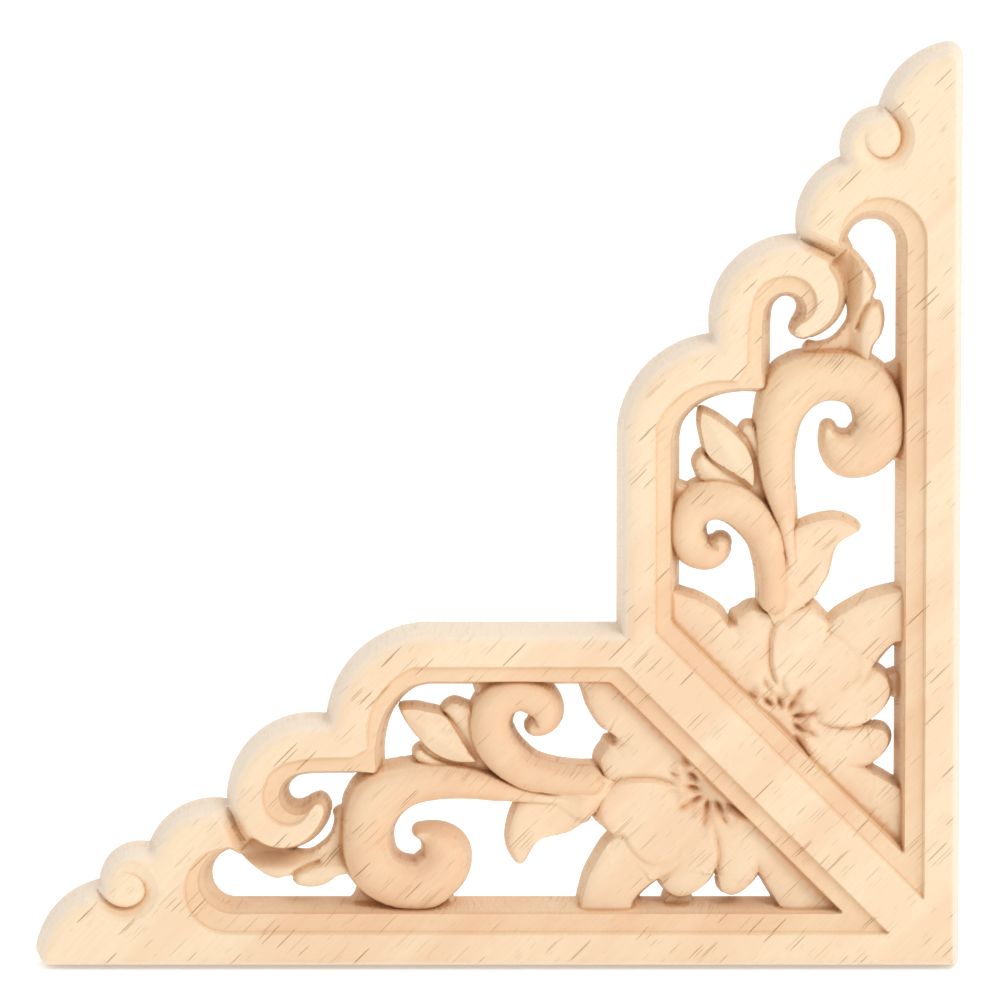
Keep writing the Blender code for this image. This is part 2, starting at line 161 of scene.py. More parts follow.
BUD_LEAF = [
    (91.0, 42.4), (88.6, 42.9), (86.2, 42.5), (83.9, 41.9), (82.4, 40.8), (80.9, 38.6), (79.0, 35.5),
    (77.6, 33.4), (79.8, 32.9), (82.6, 33.2), (85.4, 34.4), (87.6, 36.4), (88.9, 38.0), (90.3, 40.1),
]
BUD_LOBES = [
    [(84.3, 41.7), (83.6, 43.0), (82.0, 43.7), (80.2, 43.2), (78.9, 42.4), (77.0, 39.0),
     (75.8, 35.0), (77.0, 32.8), (79.3, 34.6), (81.3, 37.8), (83.2, 40.4)],
    [(87.2, 36.2), (88.5, 35.6), (88.9, 34.5), (88.3, 33.2), (85.5, 31.5), (80.0, 31.0),
     (79.5, 33.2), (83.5, 34.1), (85.8, 35.2)],
]
BUD_BED = [
    (83.5, 41.5), (80.5, 42.8), (77.5, 42.0), (74.5, 37.0), (73.5, 32.0), (79.0, 31.0), (85.0, 32.5),
    (88.0, 34.0), (87.0, 37.5), (85.5, 39.5),
]
BUD_RIDGE = [(90.6, 41.9), (86.4, 38.9), (82.0, 36.2), (78.4, 34.2)]
BUD_TOP = 7.2
BUD_CREST = 7.3
BUD_FALL = 0.38
BUD_TIP = (86.5, 4.5, 1.2)
BUD_LOBE_TOP = 6.2
BUD_BED_TOP = 5.2

# Wood left low where a scroll or a petal touches the frame: (height, outline)
WEBS = [
    (3.4, [(99.0, 8.0), (98.2, 11.4), (96.5, 14.0), (90.0, 16.0), (84.5, 14.0), (82.6, 11.6), (81.8, 8.0)]),
    (4.6, [(65.6, 48.5), (66.2, 45.6), (68.0, 43.0), (73.0, 41.0), (77.6, 43.0), (79.0, 45.4), (79.6, 48.5)]),
    (3.6, [(49.0, 8.0), (48.4, 11.0), (47.4, 13.0), (45.5, 14.0), (44.0, 12.8), (43.4, 11.0), (42.8, 8.0)]),
]

# Petals, from the side bar round to the acute corner, and the bed under them: (lean of the side, outline)
PETALS = [
    (1.0, [(61.9, 49.0), (61.3, 44.0), (60.2, 41.2), (58.7, 38.9), (56.8, 37.5), (51.0, 34.0),
           (42.0, 31.0), (40.0, 33.0), (46.0, 41.0), (52.0, 49.0)]),
    (1.6, [(56.8, 37.6), (58.4, 36.2), (59.5, 34.4), (59.4, 32.4), (57.5, 29.0), (50.0, 28.5),
           (40.0, 28.5), (42.5, 32.5), (49.0, 36.0)]),
    (1.2, [(57.7, 29.5), (59.6, 27.0), (59.6, 23.8), (57.2, 21.4), (54.3, 17.0), (48.0, 14.5),
           (45.0, 20.4), (43.0, 24.0), (39.5, 29.0), (46.4, 31.5), (50.5, 31.8), (54.0, 30.6)]),
    (1.2, [(57.3, 21.4), (59.8, 17.7), (61.3, 14.6), (62.5, 9.5), (62.6, 6.5), (53.0, 6.5), (52.2, 10.3),
           (49.2, 13.2), (45.0, 16.0), (42.0, 22.0), (52.0, 25.5)]),
    (0.9, [(49.4, 13.9), (47.8, 11.7), (45.4, 10.8), (43.0, 11.4), (40.8, 13.0), (39.2, 15.4),
           (37.4, 19.0), (38.0, 24.5), (44.0, 24.0), (50.4, 17.0)]),
    (0.9, [(40.2, 15.5), (39.4, 12.3), (37.4, 11.0), (35.0, 11.7), (32.6, 14.2), (30.0, 20.0),
           (33.0, 25.5), (40.4, 26.0), (43.5, 20.0)]),
    (1.0, [(33.3, 15.0), (31.5, 12.2), (29.6, 9.0), (28.4, 6.5), (14.0, 6.5), (20.0, 14.0), (33.0, 25.5),
           (38.0, 20.0)]),
    (1.0, [(57.0, 45.0), (56.4, 38.6), (56.5, 36.6), (57.6, 32.0), (57.2, 27.5), (54.6, 21.5),
           (55.0, 18.0), (48.5, 14.8), (44.0, 14.0), (39.8, 16.2), (36.0, 14.0), (32.8, 16.0),
           (26.0, 12.0), (20.0, 12.0), (36.0, 32.0), (50.0, 45.0)]),
]
PETAL_TOP = 6.9
PETAL_RIM = 0.7
PETAL_SIDE = (4.0, 2.0)  # height on the side where the face's carving starts, and over how much it grows
CORNER_FALL = (31.0, 14.0, 1.4)  # the flower sinks towards the acute corner: from here, over, how far
# Creases between petals, each with the higher petal on its left: (along, inward, height of the step)
CREASES = [
    [(57.6, 22.6, 0.1), (58.4, 24.6, 0.6), (58.2, 27.0, 0.8), (57.0, 29.2, 0.9), (54.6, 30.4, 1.0),
     (51.2, 30.7, 1.0), (48.7, 30.4, 1.1), (46.7, 29.7, 0.9), (45.4, 29.2, 0.1)],
    [(54.0, 22.1, 0.0), (55.4, 21.8, 0.7), (57.2, 21.4, 1.2)],
    [(43.9, 18.8, 0.0), (45.6, 17.2, 0.3), (47.3, 15.6, 0.7), (49.6, 13.7, 1.2)],
    [(40.6, 23.8, 0.2), (39.8, 21.4, 0.9), (39.4, 18.3, 1.1), (39.8, 15.2, 1.3)],
    [(52.6, 36.0, 0.0), (55.0, 36.8, 0.5), (57.2, 37.8, 1.2)],
    [(33.4, 19.0, 0.0), (33.1, 16.6, 0.5), (33.2, 14.2, 1.1)],
    [(45.6, 21.6, 0.0), (45.9, 19.7, 0.25), (47.5, 17.7, 0.4), (50.0, 17.0, 0.45), (52.6, 18.7, 0.5),
     (54.4, 21.4, 0.6)],
]
CREASE_REACH = 6.0
CREASE_SLOPE = 0.28
CREASE_SWELL = 2.6  # how far out the higher petal's swell dies away
CREASE_VALLEY = (0.45, 0.35, 0.45)  # the fine line beside it: share of the step, how far off, how wide
CREASE_END = 0.6
CREASE_SEAM = (1.0, 0.15)  # triangles follow the crease this near it, where the step is at least this

# Stamens: the pits between the stalks, and the knobs at their ends
HEART = (40.7, 28.6)
HEART_DIP = 1.1
HEART_WIDTH = 4.6
PIT_DEPTH = 1.2
PIT_LENGTH = 1.15
PIT_WIDTH = 0.48
KNOB_HEIGHT = 1.15
KNOB_WIDTH = 0.75
PITS = [
    (44.4, 33.7, 0.8), (43.3, 31.2, 1.5), (43.2, 29.3, 1.4), (42.7, 27.4, 1.4), (41.0, 26.3, 1.5),
    (39.1, 26.3, 1.4), (36.8, 26.3, 1.0), (35.4, 25.4, 0.7), (46.4, 31.6, 0.6), (46.5, 28.9, 0.6),
    (44.8, 26.2, 0.8), (41.4, 23.9, 0.7), (38.2, 24.2, 0.7),
]
KNOBS = [
    (45.7, 32.7), (45.6, 30.2), (45.1, 27.7), (42.6, 25.2), (39.9, 24.5), (37.5, 25.0), (35.8, 24.2),
]

# Lines cut with the gouge: (along, inward, depth), and their widths left and right of the line
GROOVE_BOW = 0.9
GROOVE_LEAST = 0.2
TIP_CURL_WIDTHS = (2.1, 1.2)
TIP_CURL = [
    (140.6, 13.8, 3.2), (139.4, 12.4, 2.4), (137.5, 10.8, 1.9), (135.4, 10.1, 1.7), (133.4, 10.6, 1.5),
    (132.0, 12.1, 1.2), (132.1, 14.0, 0.9), (133.4, 15.5, 0.7), (135.3, 16.0, 0.5), (136.8, 15.4, 0.1),
]
CURL_VALLEY_WIDTHS = (2.4, 1.8)
CURL_VALLEY = [
    (119.0, 27.2, 2.4), (117.8, 24.8, 2.4), (117.1, 23.2, 1.7), (116.4, 21.8, 2.0), (115.4, 20.3, 3.8),
    (113.9, 18.8, 5.0),
]

# The skin
REACH = 9.0  # how far from a line anything is measured
LINE_STEPS = 4  # pieces between two places of a smooth line
RIM_FADE = 1.1  # how far in a leaf's sunk rim dies away
GRID = 0.33
MARGIN = 1.0  # how far the grid reaches past the arm
FINE = 0.004  # bend from which a grid node is kept
COARSE = 4  # of the rest, one in so many each way
HALVINGS = 5  # how often a piece of grid line is halved to find an arris on it
WELD = 0.004  # spots of the two arms nearer than this on the diagonal become one
SHARP = 38.0  # degrees

# Painted shade and sheen, measured from the shape
VOID_LEVEL = 3.0  # an opening counts as wood of this height
HOLLOW_REACH = 1.3
LINE_REACH = 0.45
EDGE_SHADE = (1.3, 3.2)  # strength at the outer edge, and how far in it would take to lose 1; this masks the painted pale sheen on the outer arris and keeps painted wall and ledge shade off it

# The wood
GRAIN_TURN = 45.0
BOARD_JOINT = (79.6, 80.4)  # the joint between two boards, across the grain
SUNK_SHADE_HEIGHTS = (7.2, 8.0, 9.1, 9.5)  # heights where the painted shade on the sunken ledge starts, is full, starts to fade and is gone
CREAM = (0.86, 0.69, 0.49, 1.0)
PEACH = (0.83, 0.60, 0.41, 1.0)
FIBRE = (0.78, 0.55, 0.33, 1.0)
PORE = (0.44, 0.23, 0.09, 1.0)
# Painted light: shade on the openings' steep walls, pale sheen on the rounded outer arris, shade in hollows
# and creases, fine dark lines in the creases, and shade on the sunken ledge
WALL_SHADE = (0.98, 0.93, 0.88, 1.0)
EDGE_SHEEN = (0.85, 0.73, 0.60, 1.0)
CREASE_SHADE = (0.68, 0.42, 0.23, 1.0)
CREASE_LINE_SHADE = (0.80, 0.58, 0.38, 1.0)
SUNK_SHADE = (0.96, 0.89, 0.83, 1.0)

# The studio
AIM = (-0.0691, -0.005, 0.0707)
FRAME_WIDTH = 0.1615
CAMERA_LENS = 400.0
CAMERA_SENSOR = 36.0
CAMERA_TILT = 7.0
CAMERA_CLIP = (0.05, 20.0)
FRONT_LIGHT = 0.26
BACK_LIGHT = 1.04
LIGHT_AXIS = (0.45, 1.0, 0.5)  # the room is brighter behind, above and to the right
LIGHT_RANGE = (-1.15, 0.0)
KEY_LIGHT = 7.3
KEY_PLACE = (0.6, -1.15, 1.0)
KEY_AIM = (-0.06, 0.0, 0.06)
KEY_WIDTH = 0.6
FLOOR_SIZE = 3.0
FLOOR_WHITE = (0.95, 0.95, 0.95, 1.0)
FLOOR_GLOW = 0.25


def smooth_line(points, closed=False):
    """A smooth line through places, as an array."""
    n = len(points)
    spans = n if closed else n - 1
    line = []
    for i in range(spans):
        before, here, there, after = (
            Vector(points[k % n] if closed else points[min(max(k, 0), n - 1)]).to_3d()
            for k in (i - 1, i, i + 1, i + 2)
        )
        lead, trail = here + (there - before) / 6, there - (after - here) / 6
        line += interpolate_bezier(here, lead, trail, there, LINE_STEPS + 1)[:-1]
    if not closed:
        line.append(Vector(points[-1]).to_3d())
    return np.array([tuple(p) for p in line])


def arc(start, middle, end, steps):
    """Points of the circle through three places, without the first one."""
    (ax, ay), (bx, by), (cx, cy) = start, middle, end
    d = 2 * (ax * (by - cy) + bx * (cy - ay) + cx * (ay - by))
    a2, b2, c2 = ax * ax + ay * ay, bx * bx + by * by, cx * cx + cy * cy
    x = (a2 * (by - cy) + b2 * (cy - ay) + c2 * (ay - by)) / d
    y = (a2 * (cx - bx) + b2 * (ax - cx) + c2 * (bx - ax)) / d
    radius = math.hypot(ax - x, ay - y)
    first, mid, last = (math.atan2(q - y, p - x) for p, q in (start, middle, end))
    turn = (last - first) % math.tau
    if (mid - first) % math.tau > turn:
        turn -= math.tau
    angles = [first + turn * i / steps for i in range(1, steps + 1)]
    return [(x + radius * math.cos(t), y + radius * math.sin(t)) for t in angles]


def outer_edge():
    """The arm's outline on the back: straight edge, tip, five lobes, inner side, past the diagonal."""
    edge = [(-PAST_DIAGONAL, 0.0), (LEG - TIP_ROUND, 0.0)]
    edge += arc(edge[-1], (LEG - 0.3 * TIP_ROUND, 0.3 * TIP_ROUND), (LEG, TIP_ROUND), 5)
    for middle, cusp in LOBES:
        edge += arc(edge[-1], middle, cusp, 24)
    return edge + [(PAST_DIAGONAL, ARM_WIDTH), (-PAST_DIAGONAL, PAST_DIAGONAL)]


def curl_side():
    """The outside of the hanging curl, from the nib round to the curl's tip."""
    x, y = CURL_CENTRE
    first, last = math.radians(CURL_FROM), math.radians(CURL_TO)
    start = (x + CURL_RADIUS * math.cos(first), y + CURL_RADIUS * math.sin(first))
    low = (x - CURL_RADIUS * math.cos(last), y - CURL_RADIUS * math.sin(last))
    nose = smooth_line([low] + CURL_NOSE)[1:, :2].tolist()
    return [start] + arc(start, (x, y - CURL_RADIUS), low, 24) + nose


def opening_edge():
    """The arm's through opening on the back, before scrolls and flower fill it."""
    edge = [(BAR + DIAGONAL_EDGE, BAR), LONG_OPENING_END[0]]
    edge += arc(*LONG_OPENING_END, 18) + [NIB]
    edge += curl_side()
    edge += smooth_line(TEARDROP)[1:, :2].tolist()
    edge += WINDOW_SILL + smooth_line(WINDOW_CORNER)[:, :2].tolist()
    return edge + [(SIDE_EDGE + DIAGONAL_EDGE, SIDE_EDGE)]


def ledge_edge():
    """The line where the top face steps down to the ledge that follows the opening."""
    edge = [(LEDGE_LINE + DIAGONAL_LEDGE, LEDGE_LINE), LONG_LEDGE_END[0]]
    edge += arc(*LONG_LEDGE_END, 20) + [NIB]
    edge += curl_side() + smooth_line(CURL_LEDGE)[:, :2].tolist()
    edge += LEDGE_SILL + arc(LEDGE_SILL[-1], *LEDGE_CORNER, 14)
    return edge + [(SIDE_LEDGE + DIAGONAL_LEDGE, SIDE_LEDGE)]


def gap(spots, line, closed=False, reach=REACH):
    """Distance from each spot to a line, which piece of it is nearest, and how far along that piece."""
    line = np.asarray(line, float)[:, :2]
    ends = np.roll(line, -1, axis=0) if closed else line[1:]
    starts = line if closed else line[:-1]
    best = np.full(len(spots), reach)
    which = np.zeros(len(spots), int)
    part = np.zeros(len(spots))
    low, high = line.min(axis=0) - reach, line.max(axis=0) + reach
    near = np.flatnonzero(np.all((spots > low) & (spots < high), axis=1))
    here = spots[near]
    for i, (start, end) in enumerate(zip(starts, ends)):
        run = end - start
        t = np.clip((here - start) @ run / max(run @ run, 1e-9), 0, 1)
        far = np.hypot(*(here - start - t[:, None] * run).T)
        closer = far < best[near]
        hit = near[closer]
        best[hit] = far[closer]
        which[hit] = i
        part[hit] = t[closer]
    return best, which, part


def within(spots, starts, ends):
    """Whether each spot is inside the closed outlines that the given edges make up."""
    a, b = spots.T
    odd = np.zeros(len(spots), bool)
    for (a0, b0), (a1, b1) in zip(starts, ends):
        if b0 != b1:
            odd ^= ((b0 > b) != (b1 > b)) & (a < (a1 - a0) * (b - b0) / (b1 - b0) + a0)
    return odd


def depth_in(spots, outline):
    """Distance inside a closed outline, negative outside."""
    outline = np.asarray(outline, float)[:, :2]
    far = gap(spots, outline, closed=True)[0]
    return np.where(within(spots, outline, np.roll(outline, -1, axis=0)), far, -far)


def left_of(spots, line, which):
    """Whether each spot is left of its nearest piece of a line."""
    run = line[which + 1, :2] - line[which, :2]
    off = spots - line[which, :2]
    return run[:, 0] * off[:, 1] - run[:, 1] * off[:, 0] > 0


def soft_min(p, q, blend):
    """The lower of two heights, with the corner between them rounded."""
    return (p + q - np.sqrt((p - q) ** 2 + blend * blend)) / 2


def soft_max(p, q, blend):
    """The higher of two heights, with the corner between them rounded."""
    return (p + q + np.sqrt((p - q) ** 2 + blend * blend)) / 2


def rounded(into, drop, width):
    """A flat top whose edge rolls down by drop over a width."""
    t = 1 - np.clip(into / width, 0, 1)
    return TOP - drop * (1 - np.sqrt(1 - t * t))


def creased(spots, line):
    """How much a crease between two petals lifts the left one and lowers the right one."""
    line = smooth_line(line)
    far, which, part = gap(spots, line, reach=CREASE_REACH)
    step = line[which, 2] * (1 - part) + line[which + 1, 2] * part
    step = np.where(far < CREASE_REACH - 0.1, step, 0.0)
    left = left_of(spots, line, which)
    ends = ((which == 0) & (part == 0)) | ((which == len(line) - 2) & (part == 1))
    side = np.where(left, far, -far)
    share, aside, width = CREASE_VALLEY
    lift = 0.5 * step * np.tanh(side / CREASE_SLOPE) * np.exp(-far / CREASE_SWELL)
    valley = share * step * np.exp(-(((side + aside) / width) ** 2))
    fade = np.where(ends, np.exp(-far / CREASE_END), 1.0)
    return (lift - valley) * fade, left & (far < CREASE_SEAM[0]) & (step > CREASE_SEAM[1]) & ~ends


def gouged(spots, line, outer, inner):
    """How deep a gouged line cuts; outer and inner are the groove's widths left and right of it."""
    line = smooth_line(line)
    far, which, part = gap(spots, line, reach=max(outer, inner) + 0.5)
    deep = line[which, 2] * (1 - part) + line[which + 1, 2] * part
    left = left_of(spots, line, which)
    width = np.where(left, outer, inner)
    t = np.clip(1 - far / width, 0, 1)
    cut = deep * np.where(left, t ** GROOVE_BOW, 1 - np.sqrt(np.clip(1 - t * t, 0, 1)))
    return cut, left & (far < width) & (deep > GROOVE_LEAST)


def wall_lean(a, b):
    """How far the openings' walls lean at each spot."""
    lean = LEDGE_WALL
    for (near_a, near_b), spread, more in WALL_CHANGES:
        lean = lean + more * np.exp(-((a - near_a) ** 2 + (b - near_b) ** 2) / spread)
    return lean


def frame_top(spots, out):
    """The flat face with its rounded outer arris and curl's rim, and the outer wall below it."""
    a, b = spots.T
    from_straight = (b - STRAIGHT_BAND[0]) / STRAIGHT_BAND[1]
    from_tip = (a - (LEG - TIP_BAND[0])) / TIP_BAND[1]
    curve = np.clip(np.maximum(from_straight, from_tip), 0, 1)
    drop = STRAIGHT_DROP + (OUTER_DROP - STRAIGHT_DROP) * curve
    width = STRAIGHT_ROUND + (OUTER_ROUND - STRAIGHT_ROUND) * curve
    rim = smooth_line(CURL_VALLEY[:-1])[:, :2].tolist() + curl_side()
    from_rim = gap(spots, rim, reach=4.0)[0] - CURL_RIM_WALL
    face = rounded(out - OUTER_WALL, drop, width)
    face = np.minimum(face, rounded(from_rim, CURL_RIM_DROP, CURL_RIM_ROUND))
    return face, (TOP - drop) * out / OUTER_WALL


def frame_cut(spots):
    """The flat frame with its rounded outer edge, the ledge, the openings' walls and the curls."""
    a, b = spots.T
    opening = -depth_in(spots, opening_edge())
    past_corner = np.maximum(BAR - b, (DIAGONAL_EDGE - a + b) / math.sqrt(2))
    sharp = (past_corner > 0) & (a < ACUTE_CORNER[0]) & (b < ACUTE_CORNER[1])
    opening = np.where(sharp, past_corner, opening)
    face, wall = frame_top(spots, depth_in(spots, outer_edge()))
    past_line = LEDGE_INSET - depth_in(spots, ledge_edge())
    step = TOP + (TOP - LEDGE - COVE_DROP) * past_line / LEDGE_STEP
    cove = LEDGE + COVE_DROP * np.clip(1 + past_line / COVE_WIDTH, 0, 1) ** 2
    shelf = np.maximum(step, cove)
    curl_cut, on_curl = gouged(spots, TIP_CURL, *TIP_CURL_WIDTHS)
    valley_cut, on_valley = gouged(spots, CURL_VALLEY, *CURL_VALLEY_WIDTHS)
    top = np.minimum(face, shelf) - curl_cut - valley_cut
    inner_wall = LEDGE * opening / wall_lean(a, b)
    sides = np.minimum(wall, inner_wall)
    on_side = 1 + (wall < inner_wall) * 2
    on_top = (shelf < face) * 4 + (step < cove) * 8 + on_curl * 16 + on_valley * 32
    return np.minimum(top, sides), np.where(sides <= top, on_side, on_top)


def scroll_cut(spots, stations):
    """A scroll: leaning sides and a round top over a centre line with a width that changes."""
    line = smooth_line(stations)
    best = np.full(len(spots), -REACH)
    low, high = line[:, :2].min(axis=0) - REACH, line[:, :2].max(axis=0) + REACH
    near = np.flatnonzero(np.all((spots > low) & (spots < high), axis=1))
    here = spots[near]
    for start, end in zip(line[:-1], line[1:]):
        run = end[:2] - start[:2]
        t = np.clip((here - start[:2]) @ run / (run @ run), 0, 1)
        far = np.hypot(*(here - start[:2] - t[:, None] * run).T)
        half = (start[2] * (1 - t) + end[2] * t) / 2
        swell = np.clip(half / SCROLL_FULL, 0, 1) ** SCROLL_SWELL
        u = np.clip(far / (half - SCROLL_LEAN / 2), 0, 1)
        top = SCROLL_WAIST + (SCROLL_TOP - SCROLL_WAIST) * swell * np.sqrt(1 - u ** SCROLL_ROUND)
        side = SCROLL_WAIST * (half - far) / SCROLL_LEAN
        best[near] = np.maximum(best[near], np.minimum(top, side))
    return best, (best > SCROLL_WAIST) * 1


def small_scroll_cut(spots):
    """The small scroll, with a groove that winds into its eye."""
    height, kind = scroll_cut(spots, SMALL_SCROLL)
    cut, side = gouged(spots, EYE_GROOVE, *EYE_WIDTHS)
    return height - cut, kind + 2 * side


def leaf_cut(spots, outline, height, rim, lean=0.8):
    """A leaf or petal: leaning sides and a face that swells a little from its rim."""
    into = depth_in(spots, smooth_line(outline, closed=True))
    wall = height * into / lean
    face = height - rim * np.exp(-np.clip(into - lean, 0, REACH) / RIM_FADE)
    return soft_min(wall, face, 0.25), (wall > face) * 1


def fallen(past, over, deep):
    """A fall that grows evenly from nothing to so deep, over a width."""
    return deep * np.clip(past / over, 0, 1)


def furrow(far, deep, width):
    """How deep a soft furrow is, this far from its line."""
    return deep * np.exp(-((far / width) ** 2))


def hooked_leaf_cut(spots):
    """The hooked leaf: two faces that meet on a bowed ridge, and a tip that bows down."""
    height, kind = leaf_cut(spots, HOOKED_LEAF, HOOKED_TOP, rim=0.3)
    line = smooth_line(HOOKED_RIDGE)
    ridge, which, _ = gap(spots, line, reach=7.0)
    face = HOOKED_CREST - np.where(left_of(spots, line, which), *HOOKED_FALLS) * ridge
    start, over, deep = HOOKED_TIP
    return soft_min(height, face - fallen(start - spots[:, 1], over, deep), 0.2), kind


def stem_foot_cut(spots):
    """The foot of the stems, which runs down between two petals and out into the hooked leaf."""
    height, kind = leaf_cut(spots, STEM_FOOT, STEM_TOP, rim=0.4, lean=1.0)
    a, b = spots.T
    rise, fall = (level + rate * (a - place) for place, level, rate in (STEM_RISE, STEM_FALL))
    slope = np.minimum(rise, fall) - STEM_SIDE[1] * np.clip(STEM_SIDE[0] - b, 0, 6)
    leaf, leaf_kind = hooked_leaf_cut(spots)
    return soft_max(soft_min(height, slope, 0.3), leaf, 0.7), np.maximum(kind, leaf_kind)


def frilly_leaf_cut(spots):
    """The frilly leaf, which falls away towards the hanging curl and is notched on its outer side."""
    height, kind = leaf_cut(spots, FRILLY_LEAF, FRILLY_TOP, rim=0.5)
    a, b = spots.T
    slope = FRILLY_TOP
    for start, rate, over in FRILLY_FALLS:
        slope = slope - rate * np.clip(b - start, 0, over)
    start, rate, over = FRILLY_TAIL
    slope = np.maximum(slope, FRILLY_FLOOR) - rate * np.clip(start - a, 0, over)
    notch = gap(spots, smooth_line(FRILL_NOTCH), reach=3.0)[0]
    root = gap(spots, curl_side(), reach=4.0)[0]
    return soft_min(height, slope, 0.2) - (furrow(notch, *NOTCH) + furrow(root, *FRILLY_ROOT)), kind


def bud_cut(spots):
    """The bud: a ridged leaf over two side lobes and the low bed between them."""
    height, kind = leaf_cut(spots, BUD_LEAF, BUD_TOP, rim=0.5)
    ridge = gap(spots, BUD_RIDGE, reach=5.0)[0]
    start, over, deep = BUD_TIP
    height = soft_min(height, BUD_CREST - BUD_FALL * ridge - fallen(spots[:, 0] - start, over, deep), 0.12)
    under = [(BUD_BED, BUD_BED_TOP, 4)] + [(outline, BUD_LOBE_TOP, 2) for outline in BUD_LOBES]
    for outline, level, label in under:
        part = leaf_cut(spots, outline, level, rim=0.9)[0]
        kind = np.where(part > height, label, kind)
        height = np.maximum(part, height)
    return height, kind


def webs_cut(spots):
    """The low wood that joins a scroll or a petal to the frame."""
    height = np.full(len(spots), -REACH)
    for level, outline in WEBS:
        height = np.maximum(height, leaf_cut(spots, outline, level, rim=0.3)[0])
    return height, np.zeros(len(spots), int)


def stamens(a, b):
    """The slim pits that point to the flower's heart, and the knobs round them."""
    carved = 0.0
    for pa, pb, deep in PITS:
        way = Vector((pa - HEART[0], pb - HEART[1])).normalized()
        off_a, off_b = a - pa, b - pb
        out_by = off_a * way.x + off_b * way.y
        aside = off_b * way.x - off_a * way.y
        pit = np.exp(-((out_by / PIT_LENGTH) ** 2) - (aside / PIT_WIDTH) ** 2)
        carved = carved - PIT_DEPTH * deep * pit
    for ka, kb in KNOBS:
        carved = carved + KNOB_HEIGHT * np.exp(-(((a - ka) ** 2 + (b - kb) ** 2) / KNOB_WIDTH ** 2))
    return carved


def flower_cut(spots):
    """Petals that share one swelling face, the creases between them, and the stamens in the middle."""
    a, b = spots.T
    height = np.full(len(spots), -REACH)
    kind = np.zeros(len(spots), int)
    for lean, outline in PETALS:
        petal, part = leaf_cut(spots, outline, PETAL_TOP, rim=PETAL_RIM, lean=lean)
        over = petal > height
        height = np.where(over, petal, height)
        kind = np.where(over, part, kind)
    face = np.clip((height - PETAL_SIDE[0]) / PETAL_SIDE[1], 0, 1)
    out = np.hypot(a - HEART[0], b - HEART[1])
    start, over, deep = CORNER_FALL
    carved = stamens(a, b) - HEART_DIP * np.exp(-((out / HEART_WIDTH) ** 4)) - fallen(start - a, over, deep)
    for number, line in enumerate(CREASES):
        lift, left = creased(spots, line)
        carved = carved + lift
        kind = kind + left * (4 << number)
    return height + carved * face, kind


def relief(spots):
    """Height above the back at each spot, and a number that changes wherever an arris or crease runs."""
    height, kind = frame_cut(spots)
    others = [
        scroll_cut(spots, BIG_SCROLL),
        small_scroll_cut(spots),
        stem_foot_cut(spots),
        frilly_leaf_cut(spots),
        bud_cut(spots),
        flower_cut(spots),
        webs_cut(spots),
    ]
    for number, (other, part) in enumerate(others, 1):
        over = other > height
        height = np.where(over, other, height)
        kind = np.where(over, 1000 * number + part, kind)
    kind = np.where(height < 0, -1, kind)
    return height, np.where(spots[:, 0] < spots[:, 1], -2, kind)


def scan():
    """Height and kind at every node of a square grid over one arm."""
    along = np.arange(-MARGIN, LEG + 1.5 * MARGIN, GRID)
    inward = np.arange(-MARGIN, ARM_WIDTH + 1.5 * MARGIN, GRID)
    nodes = np.stack(np.meshgrid(along, inward, indexing="ij"), axis=-1)
    wanted = nodes[..., 0] > nodes[..., 1] - 3 * GRID
    height = np.full(wanted.shape, -1.0)
    kind = np.full(wanted.shape, -2)
    height[wanted], kind[wanted] = relief(nodes[wanted])
    return nodes, height, kind


def crossings(low, high):
    """Where each pair of spots changes from one kind to another, found by halving."""
    kind_low = relief(low)[1]
    for _ in range(HALVINGS):
        middle = (low + high) / 2
        same = relief(middle)[1] == kind_low
        low = np.where(same[:, None], middle, low)
        high = np.where(same[:, None], high, middle)
    return (low + high) / 2


def seams_of(nodes, kind):
    """Places on every arris, crease and outline, and the short lines that join them."""
    n, m = kind.shape
    spots, kind = nodes.reshape(-1, 2), kind.ravel()
    index = np.arange(n * m).reshape(n, m)
    p, q, r, s = (index[i:n - 1 + i, j:m - 1 + j].ravel() for i, j in ((0, 0), (1, 0), (1, 1), (0, 1)))
    even = (p // m + p % m) % 2 == 0
    faces = np.concatenate([
        np.stack([p, q, np.where(even, r, s)], axis=1),
        np.stack([np.where(even, p, q), r, s], axis=1),
    ])
    faces = faces[(kind[faces] != kind[faces[:, :1]]).any(axis=1)]
    sides, back = np.unique(sides_of(faces), axis=0, return_inverse=True)
    changed = np.flatnonzero(kind[sides[:, 0]] != kind[sides[:, 1]])
    cuts = crossings(spots[sides[changed, 0]], spots[sides[changed, 1]])
    number = np.full(len(sides), -1)
    number[changed] = np.arange(len(changed))
    lines = []
    extra = []
    for corners in number[back.reshape(3, -1).T]:
        hit = [c for c in corners if c >= 0]
        if len(hit) == 2:
            lines.append(tuple(hit))
        elif len(hit) == 3:
            middle = len(cuts) + len(extra)
            extra.append(cuts[hit].mean(axis=0))
            lines += [(c, middle) for c in hit]
    return np.vstack([cuts, np.array(extra).reshape(-1, 2)]), lines


def free_nodes(nodes, height, kind, seams):
    """The nodes worth keeping: all where the face bends, few elsewhere, and none right beside a seam."""
    n, m = kind.shape
    bend = np.zeros((n, m))
    bend[1:-1, 1:-1] = np.maximum(
        np.abs(height[2:, 1:-1] + height[:-2, 1:-1] - 2 * height[1:-1, 1:-1]),
        np.abs(height[1:-1, 2:] + height[1:-1, :-2] - 2 * height[1:-1, 1:-1]),
    )
    row, column = np.indices((n, m))
    keep = (bend > FINE) | ((row % COARSE == 0) & (column % COARSE == 0))
    keep &= kind >= 0
    nearest = np.clip(np.rint((seams + MARGIN) / GRID).astype(int), 0, (n - 1, m - 1))
    off = np.hypot(*(nodes[nearest[:, 0], nearest[:, 1]] - seams).T)
    keep[tuple(nearest[off < 0.45 * GRID].T)] = False
    return nodes[keep]


